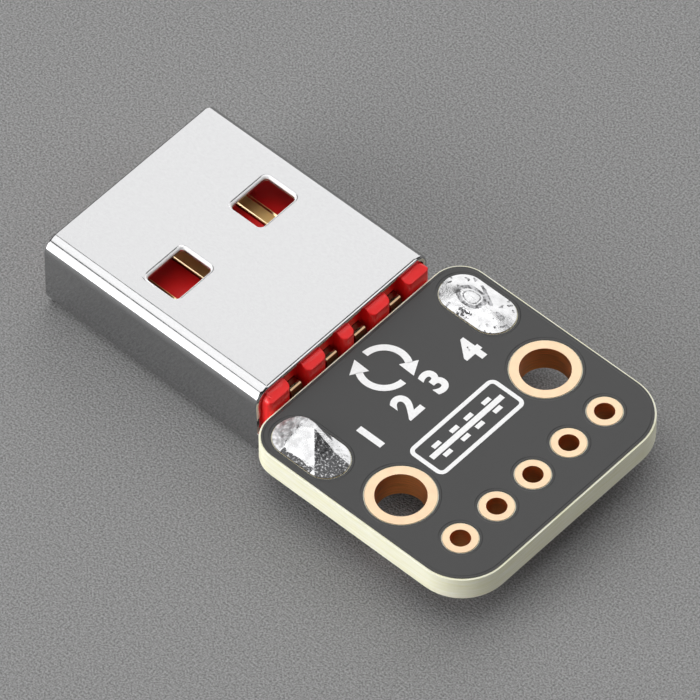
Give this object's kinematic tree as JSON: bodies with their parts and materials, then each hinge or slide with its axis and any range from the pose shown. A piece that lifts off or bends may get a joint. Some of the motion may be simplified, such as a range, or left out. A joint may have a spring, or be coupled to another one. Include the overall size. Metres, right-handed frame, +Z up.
{
  "type": "usb plug breakout board",
  "caption": "Reversible plug with a folded metal shell and a thin contact tongue, soldered to a small breakout board that has a row of header holes and mounting holes.",
  "frame": {"origin": "under the middle of the overall length, on the plane of the shell's underside", "axes": "+X from the plug's mouth to the header edge, +Y across the board, +Z up, out of the board's face"},
  "size_m": [0.0284, 0.015, 0.0045],
  "materials": {
    "shell": "satin",
    "insulator": "satin",
    "contact": "gloss",
    "laminate": "matte",
    "mask": "matte",
    "pad": "satin",
    "solder": "gloss"
  },
  "bodies": {
    "root": {"plug_shell": "shell", "insulator": "insulator", "laminate": "laminate", "top_solder_mask": "mask", "bottom_solder_mask": "mask", "upper_contact_1": "contact", "lower_contact_1": "contact", "lead_pad_1": "pad", "lead_solder_1": "solder", "upper_contact_2": "contact", "lower_contact_2": "contact", "lead_pad_2": "pad", "lead_solder_2": "solder", "upper_contact_3": "contact", "lower_contact_3": "contact", "lead_pad_3": "pad", "lead_solder_3": "solder", "upper_contact_4": "contact", "lower_contact_4": "contact", "lead_pad_4": "pad", "lead_solder_4": "solder", "header_barrel_1": "pad", "header_barrel_2": "pad", "header_barrel_3": "pad", "header_barrel_4": "pad", "header_barrel_5": "pad", "mount_barrel_near": "pad", "tab_barrel_near": "pad", "tab_solder_near": "solder", "mount_barrel_far": "pad", "tab_barrel_far": "pad", "tab_solder_far": "solder"}
  },
  "joints": []
}
